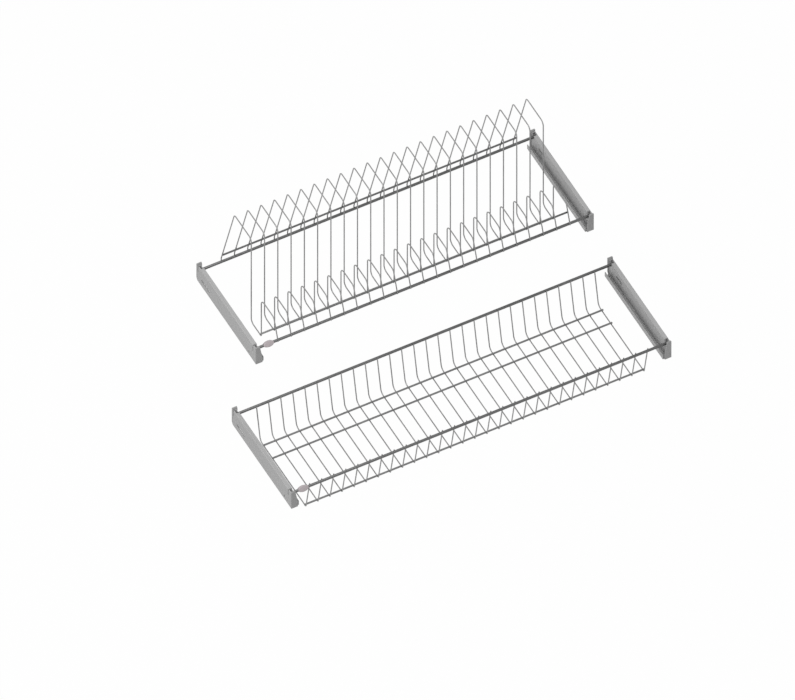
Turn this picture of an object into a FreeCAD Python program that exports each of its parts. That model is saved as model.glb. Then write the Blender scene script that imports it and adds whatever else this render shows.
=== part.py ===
"""Cabinet dish rack: a wire plate rack above a wire glass rack, each lifted into its own pair of rails.

Frame: +X to the right, +Y to the back of the cabinet, +Z up. The origin is on the axis of the plate rack's
back bar, midway between the cabinet's sides. Both racks are drawn in side view first, with f the distance
forward of their own back bar's axis and u the height above it, and x is measured across the cabinet.
"""
import FreeCAD, Part
import math
import os

# Driving dimensions, in millimetres

# Both racks
BAR_D = 6.0  # heavy bars that carry a rack
ROD_D = 4.0  # thin rods that tie the wires together
WIRE_D = 2.5  # bent wires
BAR_SPACING = 236.7  # back bar axis to front bar axis
WELD_GAP = 0.02  # left between round wires where they are welded
WIRE_SIDES = 8  # flat sides of a bent wire's section
BEND_STEP = 45.0  # most degrees that a mitre of a bend turns
BEND_RUN = 5.0  # length of the short runs that round a wide bend

# Place of the lower rack, from the back bar of the upper one
LOWER_FORWARD = 243.5
LOWER_DROP = 168.7

# Clear widths of the cabinets that the two pairs of rails are screwed into
PLATE_CABINET_W = 768.0
GLASS_CABINET_W = 864.0

# Plate rack: one divider's bends in side view
DIVIDER_COUNT = 23
DIVIDER_PITCH = 30.17
LEG_START_U = -3.0  # lower tip of the rear leg, behind the back bar
LEG_KINK_U = 5.7  # where the rear leg starts to lean forward
PEAK_F = 52.9
PEAK_U = 196.8
FRONT_LEG_F = 125.3  # upright that the plates lean on
FLOOR_U = -57.3
FLOOR_END_F = 168.65
LOOP_TOP_U = 55.3  # top of the small front loop
LOOP_END_F = 222.5
KINK_BEND = 4.0  # bend radii at the wire's centre line
PEAK_BEND = 9.0
SHOULDER_BEND = 11.0
FLOOR_BEND = 11.0
LOOP_BACK_BEND = 14.0
LOOP_FRONT_BEND = 9.0
PLATE_ROD_U = 25.9  # height of the rod behind the plates
ROD_PROUD = 1.0  # how far a rod's ends pass the outermost wires

# Glass rack: one cross wire's bends in side view
GLASS_WIRE_COUNT = 29
GLASS_WIRE_PITCH = 27.45
BASKET_DEPTH = 85.0
BASKET_BACK_F = 20.6
BASKET_FRONT_F = 216.7
BASKET_BACK_BEND = 12.0
GLASS_ROD_BACK_F = 36.2
GLASS_ROD_MIDDLE_F = 74.9
WIRE_TIP = 3.0  # a wire's tip past the point where it touches its bar

# Rails
RAIL_BACK = 12.6  # rail's rear end, behind the back bar's axis
RAIL_FRONT = 12.6  # front end face, forward of the front bar's axis
RAIL_TOP_U = 6.4
RAIL_H = 44.9
RAIL_SHEET = 1.5
RAIL_TOP_W = 9.0
RAIL_BOTTOM_W = 17.0
RAIL_LIP_H = 5.5
RAIL_CORNER = 3.0

# Screw holes in the rail's web
SLOT_LENGTH = 36.0
SLOT_W = 6.0
SLOT_F = 27.0
SLOT_U = -21.0
SCREW_HOLE_D = 4.5
SCREW_HOLE_F = 214.0
SCREW_HOLE_U = -29.5

# Moulded end hooks
HOOK_W = 14.5
HOOK_REACH = 9.0  # block's length past the bar's axis, away from the rail's end
HOOK_SEAT_WALL = 8.9  # outer wall beside the bar's end
HOOK_FOOT_U = -16.0  # underside of the seat block
END_PLATE_T = 3.0
END_PLATE_W = 15.0
END_PLATE_CORNER = 5.0
EAR_W = 11.6
EAR_U = 13.0
SNAP_SLOT_W = 4.0  # slot that lets the hook's tongue spring
SNAP_SLOT_DEPTH = 27.4
SNAP_WALL = 0.9  # ridge between the bar's seat and the slot
SEAT_CLEARANCE = 0.3  # between a bar and its seat, and at the bar's end
SEAT_RIDGE_U = -0.4

# Snap-on tags on the front bars
TAG_L = 27.0
TAG_H = 17.0
TAG_T = 8.6
TAG_EDGE = 2.2
TAG_SIDES = 20
TAG_TILT = 40.0  # degrees that the tag's face leans back
TAG_BORE_CLEARANCE = 0.03
TAG_MOUTH = 4.6
TAG_PLAY = 3.4  # between the tag and the hook beside it

# Values that follow from the ones above
BAR_R = BAR_D / 2
ROD_R = ROD_D / 2
WIRE_R = WIRE_D / 2
BAR_TOUCH = BAR_R + WIRE_R + WELD_GAP
ROD_TOUCH = ROD_R + WIRE_R + WELD_GAP
BAR_END_INSET = HOOK_SEAT_WALL + SEAT_CLEARANCE
SEAT_R = BAR_R + SEAT_CLEARANCE
SNAP_SLOT_NEAR = SEAT_R + SNAP_WALL
SNAP_SLOT_FAR = SNAP_SLOT_NEAR + SNAP_SLOT_W
RAIL_BOTTOM_U = RAIL_TOP_U - RAIL_H
SAFE_CUT = 5.0  # how far a cutting shape runs past what it cuts

V = FreeCAD.Vector


def side(x, f, u):
    """Return the point at x across, f forward and u up, in the rack's own frame."""
    return V(x, -f, u)


def unit(du, dv):
    """Return the plane direction (du, dv) at length one."""
    length = math.hypot(du, dv)
    return du / length, dv / length


def bend_corners(before, corner, after, radius):
    """Return the corners (f, u) of the short runs that turn a wire at corner, round an arc of radius."""
    ax, ay = unit(before[0] - corner[0], before[1] - corner[1])
    bx, by = unit(after[0] - corner[0], after[1] - corner[1])
    half = math.acos(max(-1.0, min(1.0, ax * bx + ay * by))) / 2
    mx, my = unit(ax + bx, ay + by)
    out = radius / math.sin(half)
    centre = (corner[0] + mx * out, corner[1] + my * out)
    turn = math.pi - 2 * half
    count = max(1, round(turn * radius / BEND_RUN), math.ceil(math.degrees(turn) / BEND_STEP - 1e-6))
    step = turn / count
    spin = 1.0 if ax * by - ay * bx < 0 else -1.0
    facing = math.atan2(-my, -mx)
    reach = radius / math.cos(step / 2)
    corners = []
    for i in range(count):
        angle = facing + spin * (i - (count - 1) / 2) * step
        corners.append((centre[0] + reach * math.cos(angle), centre[1] + reach * math.sin(angle)))
    return corners


def swept_wire(x, points, bends, radius):
    """Return a many-sided wire swept through points (f, u), turned round the given radius at each bend."""
    route = [points[0]]
    for i, bend_radius in enumerate(bends, start=1):
        route += bend_corners(points[i - 1], points[i], points[i + 1], bend_radius)
    route.append(points[-1])
    path = Part.makePolygon([side(x, f, u) for f, u in route])
    along = side(x, *points[1]) - side(x, *points[0])
    across = V(1, 0, 0)
    upward = along.cross(across)
    upward.normalize()
    ring = []
    for i in range(WIRE_SIDES):
        angle = 2 * math.pi * (i + 0.5) / WIRE_SIDES
        ring.append(path.Vertexes[0].Point + across * (radius * math.cos(angle)) + upward * (radius * math.sin(angle)))
    return path.makePipeShell([Part.makePolygon(ring + ring[:1])], True, False, 1)


def cross_bar(half_length, f, u, radius):
    """Return a straight round bar across the cabinet, centred on x = 0."""
    return Part.makeCylinder(radius, 2 * half_length, side(-half_length, f, u), V(1, 0, 0))


def tangent_tip(corner, centre, distance, turn, past):
    """Return the end of a line from corner that passes centre at distance and runs on by past.

    turn is 1 where the line passes on the left of the way to centre, and -1 on the right.
    """
    df, du = centre[0] - corner[0], centre[1] - corner[1]
    span = math.hypot(df, du)
    angle = math.atan2(du, df) + turn * math.asin(distance / span)
    run = math.sqrt(span * span - distance * distance) + past
    return corner[0] + run * math.cos(angle), corner[1] + run * math.sin(angle)


def plate(points, x0, x1):
    """Return the outline through points (f, u), extruded from x0 to x1."""
    corners = [side(x0, f, u) for f, u in points]
    return Part.Face(Part.makePolygon(corners + corners[:1])).extrude(V(x1 - x0, 0, 0))


def block(x0, x1, f0, f1, u0, u1):
    """Return a box between the given limits."""
    return Part.makeBox(x1 - x0, f1 - f0, u1 - u0, side(x0, f1, u0))


def slot_tool(x0, x1, f, top, bottom, width):
    """Return an upright slot with a round foot, open at its top."""
    radius = width / 2
    foot = Part.makeCylinder(radius, x1 - x0, side(x0, f, bottom + radius), V(1, 0, 0))
    return foot.fuse(block(x0, x1, f - radius, f + radius, bottom + radius, top))


def plate_divider(x):
    """Return one bent divider of the plate rack in the plane at x."""
    leg_f = -BAR_TOUCH
    loop_end = (LOOP_END_F, LOOP_TOP_U)
    tip = tangent_tip(loop_end, (BAR_SPACING, 0.0), BAR_TOUCH, 1, WIRE_TIP)
    points = [
        (leg_f, LEG_START_U),
        (leg_f, LEG_KINK_U),
        (PEAK_F, PEAK_U),
        (FRONT_LEG_F, PEAK_U),
        (FRONT_LEG_F, FLOOR_U),
        (FLOOR_END_F, FLOOR_U),
        (FLOOR_END_F, LOOP_TOP_U),
        loop_end,
        tip,
    ]
    bends = [KINK_BEND, PEAK_BEND, SHOULDER_BEND, FLOOR_BEND, ROD_TOUCH, LOOP_BACK_BEND, LOOP_FRONT_BEND]
    return swept_wire(x, points, bends, WIRE_R)


def plate_rod_place():
    """Return (f, u) of the rod that lies on the front of the dividers' leaning legs."""
    lean_f, lean_u = unit(PEAK_F + BAR_TOUCH, PEAK_U - LEG_KINK_U)
    along = (PLATE_ROD_U + lean_f * ROD_TOUCH - LEG_KINK_U) / lean_u
    return -BAR_TOUCH + lean_f * along + lean_u * ROD_TOUCH, PLATE_ROD_U


def glass_wire(x):
    """Return one bent cross wire of the glass rack in the plane at x."""
    back = (BASKET_BACK_F, -BASKET_DEPTH)
    front = (BASKET_FRONT_F, -BASKET_DEPTH)
    back_tip = tangent_tip(back, (0.0, 0.0), BAR_TOUCH, -1, WIRE_TIP)
    front_tip = tangent_tip(front, (BAR_SPACING, 0.0), BAR_TOUCH, 1, WIRE_TIP)
    return swept_wire(x, [back_tip, back, front, front_tip], [BASKET_BACK_BEND, ROD_TOUCH], WIRE_R)


def glass_front_rod_f():
    """Return f of the rod that nests in the glass wires' front bend."""
    front = (BASKET_FRONT_F, -BASKET_DEPTH)
    tip = tangent_tip(front, (BAR_SPACING, 0.0), BAR_TOUCH, 1, WIRE_TIP)
    rise = math.atan2(tip[1] - front[1], tip[0] - front[0])
    return BASKET_FRONT_F - ROD_TOUCH / math.tan((math.pi - rise) / 2)


def spread(count, pitch):
    """Return the x of each of count wires at pitch, centred on x = 0."""
    first = -pitch * (count - 1) / 2
    return [first + pitch * i for i in range(count)]


def rail_section(cabinet_w, f):
    """Return the channel's section at f, with its web against the cabinet's right side."""
    wall = cabinet_w / 2
    corner, sheet = RAIL_CORNER, RAIL_SHEET
    top, low = RAIL_TOP_U, RAIL_BOTTOM_U

    def at(inward, u):
        return side(wall - inward, f, u)

    def bend(centre_x, centre_u, radius, away_x, away_u):
        """Return the three points of a quarter turn, from the web's side round to the flange's side."""
        slope = radius * math.sqrt(0.5)
        return (
            at(centre_x + away_x * radius, centre_u),
            at(centre_x + away_x * slope, centre_u + away_u * slope),
            at(centre_x, centre_u + away_u * radius),
        )

    outer_top = bend(corner, top - corner, corner, -1, 1)
    inner_top = bend(corner, top - corner, corner - sheet, -1, 1)
    corners = [
        inner_top[0],
        at(sheet, low + sheet),
        at(RAIL_BOTTOM_W - sheet, low + sheet),
        at(RAIL_BOTTOM_W - sheet, low + RAIL_LIP_H),
        at(RAIL_BOTTOM_W, low + RAIL_LIP_H),
        at(RAIL_BOTTOM_W, low),
        at(0.0, low),
        outer_top[0],
    ]
    flange = [outer_top[2], at(RAIL_TOP_W, top), at(RAIL_TOP_W, top - sheet), inner_top[2]]
    edges = Part.makePolygon(corners).Edges + Part.makePolygon(flange).Edges
    edges += [Part.Arc(*outer_top).toShape(), Part.Arc(*inner_top).toShape()]
    ordered = Part.sortEdges(edges)[0]
    return Part.Face(Part.Wire(ordered))


def snap_slots(cabinet_w):
    """Return the two upright slots that free the hooks' tongues, through a rail's whole width."""
    wall = cabinet_w / 2
    bottom = RAIL_TOP_U - SNAP_SLOT_DEPTH
    middle = (SNAP_SLOT_NEAR + SNAP_SLOT_FAR) / 2
    cuts = []
    for bar_f in (0.0, BAR_SPACING):
        top = EAR_U + SAFE_CUT
        x0, x1 = wall - RAIL_BOTTOM_W - SAFE_CUT, wall + SAFE_CUT
        cuts.append(slot_tool(x0, x1, bar_f - middle, top, bottom, SNAP_SLOT_W))
    return cuts


def rail(cabinet_w):
    """Return the channel rail on the cabinet's right side."""
    wall = cabinet_w / 2
    start, end = -RAIL_BACK, BAR_SPACING + RAIL_FRONT - END_PLATE_T
    body = rail_section(cabinet_w, start).extrude(side(0, end - start, 0))
    inner, outer = wall - RAIL_BOTTOM_W - SAFE_CUT, wall - RAIL_SHEET
    under_top = RAIL_TOP_U - RAIL_CORNER
    over_top = RAIL_TOP_U + SAFE_CUT
    cuts = [
        block(inner, outer, start - SAFE_CUT, HOOK_REACH, under_top, over_top),
        block(inner, outer, BAR_SPACING - SNAP_SLOT_FAR - HOOK_REACH, end + SAFE_CUT, under_top, over_top),
    ]
    cuts += snap_slots(cabinet_w)
    half, radius = SLOT_LENGTH / 2, SLOT_W / 2
    x0, reach = wall - RAIL_SHEET - SAFE_CUT, RAIL_SHEET + 2 * SAFE_CUT
    for f in (SLOT_F - half + radius, SLOT_F + half - radius):
        cuts.append(Part.makeCylinder(radius, reach, side(x0, f, SLOT_U), V(1, 0, 0)))
    cuts.append(block(x0, x0 + reach, SLOT_F - half + radius, SLOT_F + half - radius,
                      SLOT_U - radius, SLOT_U + radius))
    hole = side(x0, SCREW_HOLE_F, SCREW_HOLE_U)
    cuts.append(Part.makeCylinder(SCREW_HOLE_D / 2, reach, hole, V(1, 0, 0)))
    for cut in cuts:
        body = body.cut(cut)
    return body.removeSplitter()


def bar_seat(cabinet_w, bar_f):
    """Return the open-topped pocket that a bar's end drops into."""
    wall = cabinet_w / 2
    x0, x1 = wall - HOOK_W - SAFE_CUT, wall - HOOK_SEAT_WALL
    pocket = slot_tool(x0, x1, bar_f, EAR_U + SAFE_CUT, -SEAT_R, 2 * SEAT_R)
    over_ridge = block(x0, x1, bar_f - SNAP_SLOT_FAR, bar_f, SEAT_RIDGE_U, EAR_U + SAFE_CUT)
    return pocket.fuse(over_ridge)


def rear_hook(cabinet_w):
    """Return the moulded hook with the raised ear, inside the rail's rear end."""
    wall = cabinet_w / 2
    floor = RAIL_BOTTOM_U + RAIL_SHEET
    outline = [
        (-RAIL_BACK, floor),
        (-SNAP_SLOT_NEAR, floor),
        (HOOK_REACH, HOOK_FOOT_U),
        (HOOK_REACH, RAIL_TOP_U),
        (-RAIL_BACK, RAIL_TOP_U),
    ]
    inner, web = wall - HOOK_W, wall - RAIL_SHEET
    body = plate(outline, inner, web)
    ear_x = wall - EAR_W
    ear_tip = Part.makeCylinder(
        (RAIL_BACK - SNAP_SLOT_FAR) / 2, EAR_W - RAIL_SHEET,
        side(ear_x, -(RAIL_BACK + SNAP_SLOT_FAR) / 2, EAR_U - (RAIL_BACK - SNAP_SLOT_FAR) / 2), V(1, 0, 0))
    ear = block(ear_x, web, -RAIL_BACK, -SNAP_SLOT_FAR, RAIL_TOP_U - SAFE_CUT,
                EAR_U - (RAIL_BACK - SNAP_SLOT_FAR) / 2)
    body = body.fuse([ear, ear_tip])
    return body.cut([bar_seat(cabinet_w, 0.0), snap_slots(cabinet_w)[0]]).removeSplitter()


def front_hook(cabinet_w):
    """Return the moulded hook whose end plate closes the rail's front end."""
    wall = cabinet_w / 2
    floor = RAIL_BOTTOM_U + RAIL_SHEET
    plate_back = BAR_SPACING + RAIL_FRONT - END_PLATE_T
    plate_front = BAR_SPACING + RAIL_FRONT
    near = BAR_SPACING - SNAP_SLOT_FAR - HOOK_REACH
    outline = [
        (near, RAIL_TOP_U),
        (near, HOOK_FOOT_U),
        (BAR_SPACING - SNAP_SLOT_FAR, floor),
        (plate_back, floor),
        (plate_back, RAIL_TOP_U),
    ]
    body = plate(outline, wall - HOOK_W, wall - RAIL_SHEET)
    face = block(wall - END_PLATE_W, wall, plate_back, plate_front, RAIL_BOTTOM_U, RAIL_TOP_U)
    upper = [e for e in face.Edges if abs(e.CenterOfMass.z - RAIL_TOP_U) < 1e-6
             and abs(e.Vertexes[0].Point.y - e.Vertexes[1].Point.y) > 1e-6]
    face = face.makeFillet(min(END_PLATE_CORNER, END_PLATE_W / 2 - 0.5), upper)
    body = body.fuse(face)
    return body.cut([bar_seat(cabinet_w, BAR_SPACING), snap_slots(cabinet_w)[1]]).removeSplitter()


def tag_ring(inset, z):
    """Return the tag's oval outline, drawn in by inset, at height z over its middle."""
    points = []
    for i in range(TAG_SIDES):
        angle = 2 * math.pi * (i + 0.5) / TAG_SIDES
        points.append(V((TAG_L / 2 - inset) * math.cos(angle), (TAG_H / 2 - inset) * math.sin(angle), z))
    return Part.makePolygon(points + points[:1])


def tag(cabinet_w):
    """Return the bare oval tag that snaps over the front bar beside the left hook."""
    centre = -(cabinet_w / 2 - HOOK_W - TAG_PLAY - TAG_L / 2)
    edge, half = TAG_EDGE, TAG_T / 2
    rings = [tag_ring(edge, -half), tag_ring(0.0, edge - half), tag_ring(0.0, half - edge), tag_ring(edge, half)]
    body = Part.makeLoft(rings, True, True)
    bore = Part.makeCylinder(BAR_R + TAG_BORE_CLEARANCE, 2 * TAG_L, V(-TAG_L, 0, 0), V(1, 0, 0))
    mouth = Part.makeBox(2 * TAG_L, TAG_MOUTH, TAG_T, V(-TAG_L, -TAG_MOUTH / 2, -TAG_T))
    body = body.cut([bore, mouth])
    body.rotate(V(0, 0, 0), V(1, 0, 0), 90.0 - TAG_TILT)
    body.translate(side(centre, BAR_SPACING, 0))
    return body


def rail_set(cabinet_w):
    """Return the rail and its two hooks, on the right side and mirrored to the left."""
    made = {"rail": rail(cabinet_w), "hook_rear": rear_hook(cabinet_w), "hook_front": front_hook(cabinet_w)}
    pieces = {}
    for name, shape in made.items():
        pieces[name + "_right"] = shape
        pieces[name + "_left"] = shape.mirror(V(0, 0, 0), V(1, 0, 0))
    return pieces


def plate_rack():
    """Return the plate rack's bars, rods, dividers and tag."""
    bar_half = PLATE_CABINET_W / 2 - BAR_END_INSET
    places = spread(DIVIDER_COUNT, DIVIDER_PITCH)
    rod_half = places[-1] + WIRE_R + ROD_PROUD
    pieces = {
        "plate_bar_back": cross_bar(bar_half, 0.0, 0.0, BAR_R),
        "plate_bar_front": cross_bar(bar_half, BAR_SPACING, 0.0, BAR_R),
        "plate_rod_back": cross_bar(rod_half, *plate_rod_place(), ROD_R),
        "plate_rod_front": cross_bar(rod_half, FLOOR_END_F - ROD_TOUCH, FLOOR_U + ROD_TOUCH, ROD_R),
        "plate_tag": tag(PLATE_CABINET_W),
    }
    for number, x in enumerate(places, start=1):
        pieces["plate_divider_%02d" % number] = plate_divider(x)
    return pieces


def glass_rack():
    """Return the glass rack's bars, rods, cross wires and tag."""
    bar_half = GLASS_CABINET_W / 2 - BAR_END_INSET
    places = spread(GLASS_WIRE_COUNT, GLASS_WIRE_PITCH)
    rod_half = places[-1] + WIRE_R + ROD_PROUD
    rod_u = ROD_TOUCH - BASKET_DEPTH
    return {
        "glass_bar_back": cross_bar(bar_half, 0.0, 0.0, BAR_R),
        "glass_bar_front": cross_bar(bar_half, BAR_SPACING, 0.0, BAR_R),
        "glass_rod_back": cross_bar(rod_half, GLASS_ROD_BACK_F, rod_u, ROD_R),
        "glass_rod_middle": cross_bar(rod_half, GLASS_ROD_MIDDLE_F, rod_u, ROD_R),
        "glass_rod_front": cross_bar(rod_half, glass_front_rod_f(), rod_u, ROD_R),
        "glass_tag": tag(GLASS_CABINET_W),
        "glass_wires": Part.makeCompound([glass_wire(x) for x in places]),
    }


def main():
    """Build every piece, place the lower rack and its rails, and write one file for each."""
    os.makedirs("parts", exist_ok=True)
    pieces = plate_rack()
    for name, shape in rail_set(PLATE_CABINET_W).items():
        pieces["upper_" + name] = shape
    lower = glass_rack()
    for name, shape in rail_set(GLASS_CABINET_W).items():
        lower["lower_" + name] = shape
    for name, shape in lower.items():
        shape.translate(side(0, LOWER_FORWARD, -LOWER_DROP))
        pieces[name] = shape
    for name, shape in pieces.items():
        if not shape.isValid():
            print("not valid:", name)
        shape.exportStep("parts/%s.step" % name)
    print(len(pieces), "pieces written")


main()
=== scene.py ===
"""Looks of a cabinet dish rack: a plate rack over a glass rack, each hung between two rails.

All sizes are in metres. A side view has points (f, u): f is the distance forward of a rack's back
bar and u the height above it, the same way that the solids are laid out. A distance inward is
taken from a rail's outer face, which lies against the cabinet's side wall.
"""
import logging
import math
from dataclasses import dataclass
from enum import Enum
from typing import Any, Iterable, Sequence

import bmesh
import bpy
from mathutils import Matrix, Vector


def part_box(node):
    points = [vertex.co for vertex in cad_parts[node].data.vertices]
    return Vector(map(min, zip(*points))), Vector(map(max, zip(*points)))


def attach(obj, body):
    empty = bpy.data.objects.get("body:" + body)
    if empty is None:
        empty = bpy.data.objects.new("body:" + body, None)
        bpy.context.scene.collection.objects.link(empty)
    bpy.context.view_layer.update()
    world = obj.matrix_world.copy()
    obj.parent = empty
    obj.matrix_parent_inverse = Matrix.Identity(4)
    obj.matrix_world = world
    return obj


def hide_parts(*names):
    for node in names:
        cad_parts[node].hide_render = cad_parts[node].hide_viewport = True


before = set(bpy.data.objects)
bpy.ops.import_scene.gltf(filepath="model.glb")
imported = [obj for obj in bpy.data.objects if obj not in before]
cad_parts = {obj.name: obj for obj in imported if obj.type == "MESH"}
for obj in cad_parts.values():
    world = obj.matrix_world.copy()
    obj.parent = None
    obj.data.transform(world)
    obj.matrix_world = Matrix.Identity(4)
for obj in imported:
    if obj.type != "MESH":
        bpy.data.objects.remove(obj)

LOG = logging.getLogger("dish_rack")
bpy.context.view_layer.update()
Point = tuple[float, float]
Triple = tuple[float, float, float]
Material = bpy.types.Material
Mesh = bmesh.types.BMesh
Vert = bmesh.types.BMVert
Edge = bmesh.types.BMEdge
Ring = tuple[list[Vert], list[Edge]]

BAR_SPACING = 0.2367  # between the axes of a rack's two bars, and so between the hooks' seats
SAME = 1e-6  # points no further apart than this are one
QUARTER = math.pi / 2


class Body(Enum):
    """The bodies that pieces ride on."""

    RAILS = "rails"
    PLATES = "plate_rack"
    GLASSES = "glass_rack"


class Slot(Enum):
    """The record's material slots."""

    WIRE = "wire_steel"
    BAR = "bar_steel"
    RAIL = "rail_aluminium"
    HOOK = "hook_plastic"
    TAG = "tag_plastic"


class Sock:
    """One socket of a shader, which can be used in sums and products."""

    def __init__(self, graph: "Graph", socket: Any) -> None:
        """Keep the socket and the graph that it belongs to."""
        self.graph = graph
        self.socket = socket

    def _math(self, operation: str, first: Any, second: Any) -> "Sock":
        """Return the result of a Math node on two values, each a number or a socket."""
        return self.graph.node("ShaderNodeMath", {"operation": operation}, {0: first, 1: second})

    def __add__(self, other: Any) -> "Sock":
        """Return self + other."""
        return self._math("ADD", self, other)

    __radd__ = __add__

    def __mul__(self, other: Any) -> "Sock":
        """Return self * other."""
        return self._math("MULTIPLY", self, other)

    __rmul__ = __mul__

    def larger(self, other: Any) -> "Sock":
        """Return the larger of self and other."""
        return self._math("MAXIMUM", self, other)

    def above(self, low: float, high: float) -> "Sock":
        """Return a soft step that rises from 0 at low to 1 at high."""
        settings = {"interpolation_type": "SMOOTHSTEP"}
        return self.graph.node("ShaderNodeMapRange", settings, {0: self, 1: low, 2: high})


class Graph:
    """The node tree of one material or world."""

    def __init__(self, tree: bpy.types.NodeTree) -> None:
        """Empty the tree and keep it."""
        self.tree = tree
        tree.nodes.clear()

    def node(self, kind: str, settings: dict[str, Any], values: dict[Any, Any],
             output: Any = 0) -> Sock:
        """Add one node.

        Args:
            kind: the node's type.
            settings: attributes to set first.
            values: a number, colour or socket for each named or numbered input.
            output: the name or number of the output to return.

        Returns:
            The chosen output.
        """
        made = self.tree.nodes.new(kind)
        for name, value in settings.items():
            setattr(made, name, value)
        for key, value in values.items():
            if isinstance(value, Sock):
                self.tree.links.new(value.socket, made.inputs[key])
            else:
                made.inputs[key].default_value = value
        return Sock(self, made.outputs[output] if made.outputs else None)

    def seen_by_eye(self) -> Sock:
        """Return 1 for rays seen directly, in gloss or through glass, and 0 for light."""
        camera, glossy, through = (
            self.node("ShaderNodeLightPath", {}, {}, "Is %s Ray" % kind)
            for kind in ("Camera", "Glossy", "Transmission"))
        return camera.larger(glossy.larger(through))


def rgba(grey: float, tint: Triple = (1.0, 1.0, 1.0)) -> tuple[float, float, float, float]:
    """Return a grey of the given brightness, tinted."""
    return (grey * tint[0], grey * tint[1], grey * tint[2], 1.0)


def blank(name: str) -> tuple[Material, Graph]:
    """Create a material without nodes.

    Args:
        name: its name.

    Returns:
        The material and its node tree.
    """
    material = bpy.data.materials.new(name)
    material.use_nodes = True
    return material, Graph(material.node_tree)


@dataclass(frozen=True)
class Mark:
    """One kind of marks on a finish, from fractal noise in the piece's own space.

    Attributes:
        scale, detail, grit: the noise's scale, detail and roughness.
        stretch: what each axis is multiplied by, under 1 where the marks are drawn out along it.
        low, high: the levels of noise from which the marks show, and from which they show fully.
        share: how far they cover what is below them.
        tone: their brightness against the finish's grey.
        tint: their tint, if it isn't the finish's own.
        dull: the roughness that the noise adds all over.
        worn: the roughness that the marks add where they show.
        relief, strength: the depth of the noise's bump, and how strongly it turns the light.
    """

    scale: float
    detail: float
    grit: float
    stretch: Triple = (1.0, 1.0, 1.0)
    low: float = 0.0
    high: float = 1.0
    share: float = 0.0
    tone: float = 1.0
    tint: Triple | None = None
    dull: float = 0.0
    worn: float = 0.0
    relief: float = 0.0
    strength: float = 0.0

    def noise(self, graph: Graph) -> Sock:
        """Add the noise to a material.

        Args:
            graph: the material's nodes.

        Returns:
            The noise, from 0 to 1.
        """
        where = graph.node("ShaderNodeTexCoord", {}, {}, "Object")
        where = graph.node("ShaderNodeMapping", {}, {"Vector": where, "Scale": self.stretch})
        return graph.node("ShaderNodeTexNoise", {}, {
            "Vector": where, "Scale": self.scale, "Detail": self.detail, "Roughness": self.grit})


@dataclass(frozen=True)
class Finish:
    """A finish of one grey under several kinds of marks.

    Attributes:
        name: the material's name.
        grey, tint: the finish's brightness and tint.
        roughness, metallic: how rough and how metallic it is.
        ground: the brightness below all marks, against the grey.
        even: what the marks add to the roughness on average, which is taken off again.
        marks: the marks, from the lowest to the topmost.
    """

    name: str
    grey: float
    tint: Triple = (1.0, 1.0, 1.0)
    roughness: float = 0.5
    metallic: float = 0.0
    ground: float = 1.0
    even: float = 0.0
    marks: tuple[Mark, ...] = ()

    def make(self) -> Material:
        """Create the material.

        Returns:
            The material.
        """
        material, graph = blank(self.name)
        colour: Any = rgba(self.grey * self.ground, self.tint)
        rough: Any = self.roughness - self.even
        values: dict[str, Any] = {"Metallic": self.metallic}
        for mark in self.marks:
            noise = mark.noise(graph)
            if mark.dull:
                rough = noise * mark.dull + rough
            if mark.relief:
                values["Normal"] = graph.node("ShaderNodeBump", {}, {
                    "Height": noise, "Distance": mark.relief, "Strength": mark.strength})
            if mark.share:
                shown = noise.above(mark.low, mark.high)
                tone = rgba(self.grey * mark.tone, mark.tint or self.tint)
                mix = {0: shown * mark.share, 6: colour, 7: tone}  # 6, 7 and 2 are for colours
                colour = graph.node("ShaderNodeMix", {"data_type": "RGBA"}, mix, 2)
                if mark.worn:
                    rough = shown * mark.worn + rough
        values.update({"Base Color": colour, "Roughness": rough})
        shader = graph.node("ShaderNodeBsdfPrincipled", {}, values)
        graph.node("ShaderNodeOutputMaterial", {}, {"Surface": shader})
        return material


@dataclass(frozen=True)
class SteelFinish(Finish):
    """Satin drawn steel with dull patches, faint draw marks and dried water spots."""

    roughness: float = 0.36
    metallic: float = 0.75
    ground: float = 0.86
    even: float = 0.12
    marks: tuple[Mark, ...] = (
        Mark(26.0, 4.0, 0.55, low=0.25, high=0.8, share=1.0, tone=1.14, dull=0.14),
        Mark(900.0, 3.0, 0.6, (1.0, 0.35, 0.35), low=0.35, high=0.7, share=0.22, tone=1.45,
             dull=0.10, relief=0.00005, strength=0.35),
        Mark(230.0, 1.0, 0.4, low=0.66, high=0.74, share=0.25, tone=1.7, tint=(1.0, 1.0, 0.97),
             worn=0.12),
    )


@dataclass(frozen=True)
class AluminiumFinish(Finish):
    """Grey anodised profile with soft clouds, bands and fine lines along it, and light rubs."""

    metallic: float = 0.2
    ground: float = 0.96
    even: float = 0.10
    marks: tuple[Mark, ...] = (
        Mark(14.0, 4.0, 0.6, low=0.3, high=0.75, share=1.0, tone=1.04, dull=0.08),
        Mark(90.0, 2.0, 0.5, (1.0, 0.05, 1.0), low=0.3, high=0.7, share=0.3, tone=1.06),
        Mark(1500.0, 3.0, 0.6, (1.0, 0.012, 1.0), low=0.4, high=0.65, share=0.2, tone=1.12,
             dull=0.12, relief=0.00004, strength=0.2),
        Mark(160.0, 5.0, 0.7, (1.0, 0.3, 1.0), low=0.62, high=0.72, share=0.08, tone=1.3),
    )


@dataclass(frozen=True)
class MouldedFinish(Finish):
    """Moulded plastic with slight flow marks, a fine spark-eroded grain and scuffs."""

    ground: float = 0.94
    even: float = 0.1
    marks: tuple[Mark, ...] = (
        Mark(55.0, 3.0, 0.6, low=0.3, high=0.75, share=1.0, tone=1.06, dull=0.10),
        Mark(2200.0, 2.0, 0.5, dull=0.12, relief=0.00006, strength=0.35),
        Mark(320.0, 4.0, 0.7, (1.0, 0.4, 1.0), low=0.64, high=0.72, share=0.18, tone=1.3),
    )


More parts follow.
